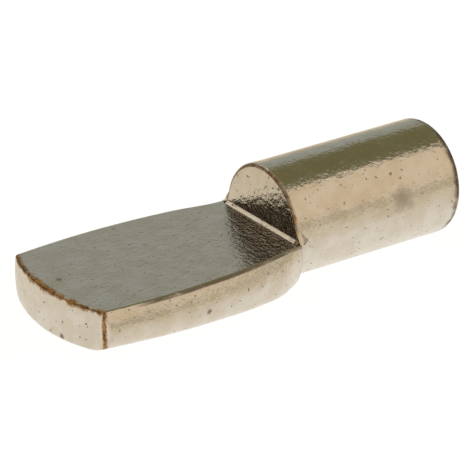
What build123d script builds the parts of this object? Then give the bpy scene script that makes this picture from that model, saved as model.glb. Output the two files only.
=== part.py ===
"""Spade shelf support pin: one piece of cold-forged, nickel-plated steel wire.

A round pin pushes into a hole in the cabinet side. The other end of the same wire is pressed
into a wider blade whose flat top carries the shelf.

Frame, millimetres: X runs along the pin's axis, out of the blade and into the cabinet side.
Z is up, square to the blade's flat seat. The origin is on the pin's axis, where the pin's plain
round part begins. The sketches below measure X from the step instead, which is the half-round
face where the seat ends, and the last block moves the joined body to the frame's own origin.
"""

from build123d import *
from math import pi, sin, sqrt
import os

# Pin
pin_diameter = 6.35
pin_length = 11.0  # from the step to the free end
pin_end_round = 0.5
collar_run = 1.0  # from the step to where the plain round part begins
collar_swell = 0.03  # how much wider than the pin the wire is at the step

# Step, between the seat and the round pin
step_width = 7.1  # width of the seat where it meets the step
step_rim_round = 0.22
foot_run = 0.9  # how far the step's spread feet run along the pin
foot_rise = 1.4  # how far the feet climb the sides of the step
foot_lean = 0.92  # how far they lean in over that climb
cove = 0.18  # leg of the narrow facet in the corner of seat and step

# Blade, whose flat seat lies in the plane of the pin's axis
blade_length = 13.5  # from the step to the crown of the tip
blade_width = 8.75  # of the seat at its widest
tip_width = 8.25  # of the seat at the tip's corners
tip_crown = 0.85  # how far the middle of the tip stands past its corners
tip_thickness = 2.45
shoulder_run = 3.0  # length over which the blade widens from the step
shoulder_tail = 0.35  # how far the shoulder reaches past the step, down to the pin
side_bulge = 0.36  # how far the side walls stand out past the seat's edge
under_crown = 0.12  # how much the underside is rounded across the blade
under_step = 0.05  # the blade's underside at the step stands this much above the pin's
lower_corner = 1.05  # width of the rounding between side wall and underside
step_corner = 2.0  # the same rounding where it grows fuller at the step
round_run = 1.6  # length over which it grows and the side walls' bulge dies away
edge_round = 0.15  # along the seat's sides and all round the tip's face

# Values that follow from the sizes above
pin_radius = pin_diameter / 2
step_half = step_width / 2
shoulder_thickness = pin_radius - under_step
corner_x = tip_crown - blade_length  # where the tip's corners lie
widest_x = -(blade_length + shoulder_run) / 2
tip_radius = (tip_width**2 / 4 + tip_crown**2) / (2 * tip_crown)
cutter_reach = 0.65 * blade_width  # sideways reach of the cut that shapes the tip
overrun = 1.0  # spare stock past the tip and above the seat, cut off again
bite = 0.1  # how far joined pieces run into each other


def seat_half_width(x):
    """Half the seat's width: a shallow parabola, drawn in as a quarter sine wave at the step."""
    tip_drop = (blade_width - tip_width) / 2
    side = blade_width / 2 - tip_drop * ((x - widest_x) / (corner_x - widest_x)) ** 2
    if x <= -shoulder_run:
        return side
    return step_half + (side - step_half) * sin(pi / 2 * -x / shoulder_run)


def blade_thickness(x):
    """Thickness from seat to underside: a straight taper from the step to the tip."""
    return shoulder_thickness + (tip_thickness - shoulder_thickness) * -x / blade_length


def fullness(x):
    """How much of the blade's own side wall is left: 0 at the step, 1 from round_run onwards."""
    return sin(pi / 2 * min(-x / round_run, 1))


def blade_section(x, half_width, thickness, bulge, corner):
    """Closed section across the blade: bulged side walls over a slightly crowned underside."""
    flank_foot = half_width - corner
    wall = [
        (half_width - side_bulge * overrun, overrun),
        (half_width, 0),
        (half_width + bulge, -0.42 * thickness),
        (half_width + bulge - 0.28 * corner, -0.78 * thickness),
        (flank_foot, under_crown - thickness),
    ]
    crown_slope = (-flank_foot, -2 * under_crown)
    with BuildSketch(Plane.YZ.offset(x)) as section:
        with BuildLine():
            side = Spline(*wall, tangents=[(side_bulge, -overrun), crown_slope])
            Line((-wall[0][0], overrun), wall[0])
            ThreePointArc(wall[-1], (0, -thickness), (-flank_foot, under_crown - thickness))
            mirror(side, about=Plane.YZ)
        make_face()
    return section.sketch


# The blade, drawn through its sections, cut to the tip's curve and the seat's plane, and
# rounded along the seat's sides and all round the tip's face
with BuildPart() as blade:
    tail_x = corner_x - overrun
    body = [tail_x + (-shoulder_run - tail_x) * share for share in (0, 0.2, 0.4, 0.6, 0.8)]
    draw_in = [-shoulder_run * share for share in (1.0, 0.72, 0.48, 0.27, 0.12, 0)]
    loft(
        sections=[
            blade_section(
                x,
                seat_half_width(x),
                blade_thickness(x),
                side_bulge * fullness(x),
                step_corner + (lower_corner - step_corner) * fullness(x),
            )
            for x in body + draw_in
        ]
    )
    with BuildSketch(Plane.XY.offset(2 * overrun)):
        with BuildLine():
            cut_x = tip_radius - blade_length - sqrt(tip_radius**2 - cutter_reach**2)
            ThreePointArc((cut_x, -cutter_reach), (-blade_length, 0), (cut_x, cutter_reach))
            Polyline(
                (cut_x, cutter_reach),
                (overrun, cutter_reach),
                (overrun, -cutter_reach),
                (cut_x, -cutter_reach),
            )
        make_face()
    extrude(amount=-shoulder_thickness - 4 * overrun, mode=Mode.INTERSECT)
    split(bisect_by=Plane.XY, keep=Keep.BOTTOM)
    tip_face = blade.faces().sort_by(Axis.X)[0]
    seat_sides = (
        blade.faces()
        .sort_by(Axis.Z)[-1]
        .edges()
        .filter_by(lambda edge: abs(edge.center().Y) > tip_width / 4)
    )
    fillet(tip_face.edges() + seat_sides, radius=edge_round)

# The shoulder, where the blade rounds off and runs down into the pin
with BuildPart() as shoulder:
    loft(
        sections=[
            blade_section(x, half_width, shoulder_thickness - sink, 0, step_corner)
            for x, half_width, sink in (
                (0, step_half, 0),
                (shoulder_tail / 2, 0.97 * step_half, 0.03),
                (shoulder_tail, 0.9 * pin_radius, 0.2),
            )
        ]
    )
    split(bisect_by=Plane.XY, keep=Keep.BOTTOM)

# The round pin, a little swollen next to the step, with both its ends rounded
with BuildPart() as pin:
    with BuildSketch(Plane.YZ):
        Circle(pin_radius + collar_swell)
    with BuildSketch(Plane.YZ.offset(collar_run)):
        Circle(pin_radius)
    loft()
    with BuildSketch(Plane.YZ.offset(collar_run)):
        Circle(pin_radius)
    extrude(amount=pin_length - collar_run)
    fillet(pin.faces().sort_by(Axis.X)[0].edges(), radius=step_rim_round)
    fillet(pin.faces().sort_by(Axis.X)[-1].edges(), radius=pin_end_round)

# The feet, where the bottom of the step spreads out to the seat's full width
with BuildPart() as feet:
    for x, reach in ((0, step_half - bite), (step_rim_round, step_half), (foot_run, pin_radius - bite)):
        with BuildSketch(Plane.YZ.offset(x)):
            top = reach - foot_lean
            Polygon((-reach, 0), (reach, 0), (top, foot_rise), (-top, foot_rise), align=None)
    loft(ruled=True)

# The facet that fills the corner between seat and step
with BuildPart() as corner:
    with BuildSketch(Plane.XZ):
        Polygon((bite, -bite), (bite, cove), (0, cove), (-cove, 0), (-cove, -bite), align=None)
    extrude(amount=pin_radius - bite, both=True)

# The whole support: blade, shoulder, pin, feet and corner joined into one body
with BuildPart() as shelf_support_pin:
    with Locations((-collar_run, 0, 0)):
        add(blade.part)
        add(shoulder.part)
        add(pin.part)
        add(feet.part)
        add(corner.part)

shelf_support_pin.part.label = "shelf_support_pin"

os.makedirs("parts", exist_ok=True)
export_step(shelf_support_pin.part, "parts/shelf_support_pin.step")
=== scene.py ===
from math import cos, radians, sin

import bpy
from mathutils import Matrix, Vector


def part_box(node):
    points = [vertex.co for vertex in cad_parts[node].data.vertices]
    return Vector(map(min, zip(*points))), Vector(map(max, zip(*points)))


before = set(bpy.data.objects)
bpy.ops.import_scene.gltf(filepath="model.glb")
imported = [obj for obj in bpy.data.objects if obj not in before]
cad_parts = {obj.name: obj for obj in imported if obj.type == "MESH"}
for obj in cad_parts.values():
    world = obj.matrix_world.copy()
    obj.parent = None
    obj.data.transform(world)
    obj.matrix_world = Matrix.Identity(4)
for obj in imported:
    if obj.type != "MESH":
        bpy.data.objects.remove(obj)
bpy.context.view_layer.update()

MM = 0.001


# ---- Shared helpers ----
# Written colours are turned into linear ones here, and shader nodes are added and linked. The
# room, the floor and the plating are all built from these four functions.
def colour(hex_code):
    """Linear RGBA of an sRGB hex colour."""
    parts = [int(hex_code[i : i + 2], 16) / 255 for i in (1, 3, 5)]
    return [p / 12.92 if p <= 0.04045 else ((p + 0.055) / 1.055) ** 2.4 for p in parts] + [1.0]


def add(tree, kind, inputs=None, output=0, **settings):
    """Adds a node, sets its properties, fills or links its inputs, and returns one output."""
    node = tree.nodes.new("ShaderNode" + kind)
    for name, value in settings.items():
        setattr(node, name, value)
    for key, value in (inputs or {}).items():
        if isinstance(value, bpy.types.NodeSocket):
            tree.links.new(value, node.inputs[key])
        else:
            node.inputs[key].default_value = value
    return node.outputs[output] if node.outputs else node


def fade(tree, value, low, high, start=0.0, end=1.0):
    """Smooth ramp from start, where value is low, to end, where it is high."""
    limits = {"Value": value, "From Min": low, "From Max": high, "To Min": start, "To Max": end}
    return add(tree, "MapRange", limits, interpolation_type="SMOOTHSTEP")


def mix(tree, factor, first, second):
    """Colour that goes from first to second as factor goes from 0 to 1."""
    return add(tree, "Mix", {0: factor, 6: first, 7: second}, output=2, data_type="RGBA")


# ---- Nickel-plated steel ----
# Satin nickel over cold-forged wire, worked out in millimetres along the frame's own axes. Places
# on the metal come from the frame's box, and masks for its marks from the distance to them.
steel = bpy.data.materials.new("tarnished satin nickel")
steel.use_nodes = True
tree = steel.node_tree
tree.nodes.clear()

lowest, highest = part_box("shelf_support_pin")
tip_middle = lowest[0] / MM
pin_end = highest[0] / MM
pin_radius = 3.175
step_x = -1.0  # the half-round step, where the seat ends
facet_leg = 0.18  # of the narrow facet in the corner of seat and step
tip_radius = 10.43  # of the tip's arc, seen from above
tip_corner = Vector((-13.6, -4.15, 0))

position = add(tree, "TexCoord", output="Object")
place = add(tree, "VectorMath", {0: position, "Scale": 1 / MM}, operation="SCALE")
x, y, z = add(tree, "SeparateXYZ", {0: place}).node.outputs


def maths(operation, *values):
    """One arithmetic step."""
    return add(tree, "Math", dict(enumerate(values)), operation=operation)


def combine(operation, first, *others):
    """The same arithmetic step, worked through all the values in turn."""
    for other in others:
        first = maths(operation, first, other)
    return first


def diagonal(a, b):
    """Square root of a squared plus b squared."""
    return maths("SQRT", maths("ADD", maths("MULTIPLY", a, a), maths("MULTIPLY", b, b)))


def distance_to(centre, squash=(1, 1, 1)):
    """Distance from a point, in mm, with each axis shrunk by its own factor."""
    away = add(tree, "VectorMath", {0: place, 1: centre}, operation="SUBTRACT")
    away = add(tree, "VectorMath", {0: away, 1: squash}, operation="MULTIPLY")
    return add(tree, "VectorMath", {0: away}, output="Value", operation="LENGTH")


def noise(per_mm, detail=3.0, vector=place):
    """Noise of about per_mm grains to the millimetre, from 0 to 1."""
    grains = {"Vector": vector, "Scale": per_mm, "Detail": detail, "Roughness": 0.6}
    return add(tree, "TexNoise", grains)


grain = noise(2.2, detail=4.0)
ragged = maths("MULTIPLY_ADD", grain, 0.5, -0.25)  # from -0.25 to 0.25 mm


def near(gap, core, reach, wander, strength=1.0):
    """Mask at full strength within core mm of a place and gone at reach mm.

    Its edge wanders in and out by the ragged noise times wander.
    """
    return fade(tree, maths("MULTIPLY_ADD", ragged, wander, gap), core, reach, strength, 0.0)


# ---- Tarnish and painted reflection ----
# Brown crust along the pressed edges, a thin dark line round the far end, and single spots and
# specks, plus a thin dark band of painted reflection along the seat's rounded side edges. Each is a
# soft mask by place, with a ragged edge.
rim_inset = 0.07  # of the middle of the rim's line from the step's face and the pin's wall
end_inset = 0.2  # of the middle of the far end's line from the end

arc_x = maths("MULTIPLY_ADD", maths("MULTIPLY", y, y), 0.5 / tip_radius, tip_middle)
tip_edge = near(diagonal(maths("SUBTRACT", x, arc_x), z), core=0.08, reach=0.34, wander=1.6)

corner_gap = distance_to(tip_corner, squash=(1, 1, 0.02))
tip_upright = near(corner_gap, core=0.05, reach=0.2, wander=0.5)

off_axis = diagonal(y, z)
rim_gap = diagonal(
    maths("SUBTRACT", off_axis, pin_radius - rim_inset),
    maths("SUBTRACT", x, step_x + rim_inset),
)
above_seat = fade(tree, z, 0.0, 0.15)
step_rim = near(rim_gap, core=0.0, reach=0.15, wander=0.5, strength=0.9)
step_rim = maths("MULTIPLY", step_rim, above_seat)

brown = combine("MAXIMUM", tip_edge, tip_upright, step_rim)

# Painted dark reflection: a thin dark band just under the seat's rounded side edges, stopping short
# of the tip.
painted_seat_edge_reflection = combine(
    "MULTIPLY",
    fade(tree, maths("MULTIPLY_ADD", ragged, 0.2, z), -0.2, -0.12),
    fade(tree, z, -0.06, -0.02, start=1.0, end=0.0),
    fade(tree, x, step_x, step_x + 0.1, start=1.0, end=0.0),
    fade(tree, noise(0.5), 0.3, 0.55, start=0.25),
    fade(tree, x, -12.2, -10.8),
    0.8,
)

end_gap = maths("ABSOLUTE", maths("SUBTRACT", x, pin_end - end_inset))
end_line = combine(
    "MULTIPLY",
    near(end_gap, core=0.1, reach=0.45, wander=1.0, strength=0.95),
    fade(tree, noise(0.7), 0.3, 0.5, start=0.35),
    fade(tree, off_axis, 2.5, 2.85),
)

spots = [  # place, radius in mm, strength
    ((-7.6, -4.6, -1.44), 0.24, 0.9),  # near side wall
    ((-13.4, 0.37, 0.0), 0.24, 0.7),  # seat
    ((-14.4, -1.4, -2.2), 0.24, 0.7),  # tip's face
    ((6.0, -3.1, 0.6), 1.0, 0.35),  # faint blotch on the pin
    ((9.75, -2.55, -1.87), 0.5, 1.0),  # far end, low down
    ((9.8, -3.1, -0.3), 0.45, 0.9),  # far end, near side
]
marks = [
    near(distance_to(centre), core=0.1 * radius, reach=radius, wander=2 * radius, strength=strength)
    for centre, radius, strength in spots
]

specks = fade(tree, noise(4.3, detail=1.0), 0.25, 0.31, start=0.55, end=0.0)

# Dark marks, together with the painted dark reflection along the seat's edges.
dark_marks_and_painted_reflection = combine("MAXIMUM", painted_seat_edge_reflection, end_line, specks, *marks)
# Tarnish mask, which also takes in the painted dark reflection along the seat's edges.
tarnish_and_painted_reflection = maths("MAXIMUM", brown, dark_marks_and_painted_reflection)

# ---- Relief ----
# Heights in mm: pits, dimples and slow waves all over, ribs across the seat that grow towards the
# step, and a thin crust where the metal has tarnished and under the painted dark reflection along
# the seat's edges.
pits = maths("MULTIPLY", noise(4.5, detail=2.0), 0.024)
dimples = maths("MULTIPLY", noise(2.6, detail=1.0), 0.016)
waves = maths("MULTIPLY", noise(1.1, detail=2.0), 0.006)
across_seat = add(tree, "VectorMath", {0: place, 1: (9.0, 0.5, 0.5)}, operation="MULTIPLY")
ribs = combine(
    "MULTIPLY",
    noise(1.0, vector=across_seat),
    fade(tree, x, step_x - 4.5, step_x - 1.5, start=0.25),
    fade(tree, x, step_x - 0.1, step_x, start=1.0, end=0.0),
    0.02,
)
crust = combine("MULTIPLY", tarnish_and_painted_reflection, grain, 0.03)

# The step's face leans back a little, and so does the narrow facet at its foot
face_lean, facet_lean = -0.13, -0.2  # fall in height for each mm up
from_step = maths("SUBTRACT", x, step_x)
on_face = fade(tree, maths("ABSOLUTE", from_step), 0.005, 0.02, start=1.0, end=0.0)
lean = combine("MULTIPLY", z, on_face, face_lean)
tilt = combine(
    "MULTIPLY",
    maths("ADD", from_step, z),
    fade(tree, z, 0.002, 0.01),
    fade(tree, z, facet_leg - 0.01, facet_leg - 0.002, start=1.0, end=0.0),
    fade(tree, x, step_x - 0.01, step_x - 0.002, start=1.0, end=0.0),
    fade(tree, x, step_x - facet_leg - 0.01, step_x - facet_leg),
    facet_lean,
)
height = combine("ADD", pits, dimples, waves, ribs, crust, lean, tilt)
relief = add(tree, "Bump", {"Strength": 1.0, "Distance": MM, "Height": height})

# ---- Finish ----
# Warm grey plating, a little yellower in patches, under golden-brown crust, dark marks and a
# painted dark reflection along the seat's edges. The tarnish and the painted reflection are rougher
# than the plating and less of a metal.
plating = mix(tree, fade(tree, noise(0.9), 0.35, 0.65), colour("#CFC6B6"), colour("#D8D1C6"))
rust = mix(tree, fade(tree, noise(5.0), 0.35, 0.65), colour("#6A3F0C"), colour("#CF9A55"))
surface = mix(tree, brown, plating, rust)
# This dark brown is both the dark marks and the painted dark reflection along the seat's edges.
surface = mix(tree, dark_marks_and_painted_reflection, surface, colour("#4A300F"))

rough = maths("MULTIPLY_ADD", noise(1.5), 0.08, 0.11)
finish = {
    "Base Color": surface,
    "Metallic": maths("MULTIPLY_ADD", tarnish_and_painted_reflection, -0.6, 1.0),
    "Roughness": maths("MULTIPLY_ADD", tarnish_and_painted_reflection, 0.3, rough),
    "Normal": relief,
}
add(tree, "OutputMaterial", {"Surface": add(tree, "BsdfPrincipled", finish)})


# ---- The support ----
# One piece of forged wire, plated all over. Its shape is the frame's own, and only its finish is
# added here.
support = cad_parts["shelf_support_pin"]
support.data.materials.clear()
support.data.materials.append(steel)


# ---- Floor ----
# A flat white paper sheet under the support. It glows where it is seen or mirrored, a little
# warmer further out, and still takes the support's soft shadow.
floor_z = lowest[2]
floor_half = 0.4

floor_mesh = bpy.data.meshes.new("floor")
signs = ((-1, -1), (1, -1), (1, 1), (-1, 1))
corners = [(side * floor_half, end * floor_half, floor_z) for side, end in signs]
floor_mesh.from_pydata(corners, [], [(0, 1, 2, 3)])
floor = bpy.data.objects.new("floor", floor_mesh)
bpy.context.scene.collection.objects.link(floor)

sheet = bpy.data.materials.new("white paper")
sheet.use_nodes = True
paper = sheet.node_tree
paper.nodes.clear()

# how far out on the sheet, shrunk along the support's length
along = (0.35, 1.0, 0.0)
outward = add(paper, "TexCoord", output="Object")
outward = add(paper, "VectorMath", {0: outward, 1: along}, operation="MULTIPLY")
outward = add(paper, "VectorMath", {0: outward}, output="Value", operation="LENGTH")
close_by = mix(paper, fade(paper, outward, 4 * MM, 12 * MM), colour("#FBF8F2"), colour("#E6DCCB"))
mirrored = mix(paper, fade(paper, outward, 10 * MM, 45 * MM), close_by, colour("#D3C3A2"))

from_camera = add(paper, "LightPath", output="Is Camera Ray")
from_gloss = from_camera.node.outputs["Is Glossy Ray"]
through_glass = from_camera.node.outputs["Is Transmission Ray"]
glow = mix(paper, from_gloss, colour("#FFFFFF"), mirrored)
glow = add(paper, "Emission", {"Color": glow, "Strength": 0.91})
matt = add(paper, "BsdfDiffuse", {"Color": colour("#F0F0F0")})
shadow_share = add(paper, "MixShader", {0: 0.3, 2: matt})
shown = add(paper, "AddShader", {0: glow, 1: shadow_share})
direct = add(paper, "Math", {0: from_camera, 1: from_gloss}, operation="MAXIMUM")
direct = add(paper, "Math", {0: direct, 1: through_glass}, operation="MAXIMUM")
add(paper, "OutputMaterial", {"Surface": add(paper, "MixShader", {0: direct, 1: matt, 2: shown})})
floor_mesh.materials.append(sheet)


# ---- Studio ----
# The room that lights the support and that its plating mirrors: a grey surround with round soft
# panels, some bright and some dark, and a tan band at the horizon. It is white where it is seen.
def facing(azimuth, elevation):
    """Unit vector that points azimuth degrees from +X towards +Y and elevation degrees up."""
    turn, rise = radians(azimuth), radians(elevation)
    return Vector((cos(turn) * cos(rise), sin(turn) * cos(rise), sin(rise)))


panels = [  # colour, azimuth, elevation, radius and softness in degrees
    ("#7B7858", 29.4, 53.0, 25.5, 1.5),  # dim olive, overhead
    ("#EFDEC6", -51.2, 33.4, 30.5, 1.5),  # warm and bright, front right
    ("#EFDEC6", -100.0, 20.0, 28.0, 6.0),  # warm and bright, front
    ("#2C1A06", 124.0, 25.0, 23.0, 3.0),  # dark, back left
    ("#F4EBDC", 92.0, 47.0, 15.0, 3.0),  # small and bright, high at the back
]

world = bpy.data.worlds.new("studio")
world.use_nodes = True
room = world.node_tree
room.nodes.clear()
ray = add(room, "TexCoord", output="Generated")
ray = add(room, "VectorMath", {0: ray}, operation="NORMALIZE")
upward = add(room, "SeparateXYZ", {0: ray}, output=2)
walls = mix(room, fade(room, upward, 0.0, 0.9), colour("#ABAFA9"), colour("#A3A6A0"))
for panel_colour, azimuth, elevation, radius, softness in panels:
    aimed = {0: ray, 1: facing(azimuth, elevation)}
    toward = add(room, "VectorMath", aimed, output="Value", operation="DOT_PRODUCT")
    outer, inner = cos(radians(radius + softness)), cos(radians(radius - softness))
    walls = mix(room, fade(room, toward, outer, inner), walls, colour(panel_colour))
walls = mix(room, fade(room, upward, -0.03, 0.05, 1.0, 0.0), walls, colour("#D3C09A"))
seen = add(room, "LightPath", output="Is Camera Ray")
backdrop = mix(room, seen, walls, colour("#FFFFFF"))
add(room, "OutputWorld", {"Surface": add(room, "Background", {"Color": backdrop, "Strength": 1.0})})
bpy.context.scene.world = world


# ---- Camera ----
# A long lens a little above the seat. It looks from the near side of the tip along the support
# towards the pin's far end.
aim = Vector((-2.30, 0.58, -0.59)) * MM
view_turn, view_drop, reach = radians(35.3), radians(25.0), 178 * MM
sight = Vector((sin(view_turn) * cos(view_drop), cos(view_turn) * cos(view_drop), -sin(view_drop)))
rightward = sight.cross(Vector((0, 0, 1))).normalized()
upright = rightward.cross(sight)
turned = Matrix((rightward, upright, -sight)).transposed().to_4x4()

lens = bpy.data.cameras.new("camera")
lens.sensor_width = 36
lens.lens = 259.5
lens.clip_start = 0.01
camera = bpy.data.objects.new("camera", lens)
camera.matrix_world = Matrix.Translation(aim - reach * sight) @ turned
bpy.context.scene.collection.objects.link(camera)
bpy.context.scene.camera = camera

bpy.context.scene.view_settings.view_transform = "Standard"
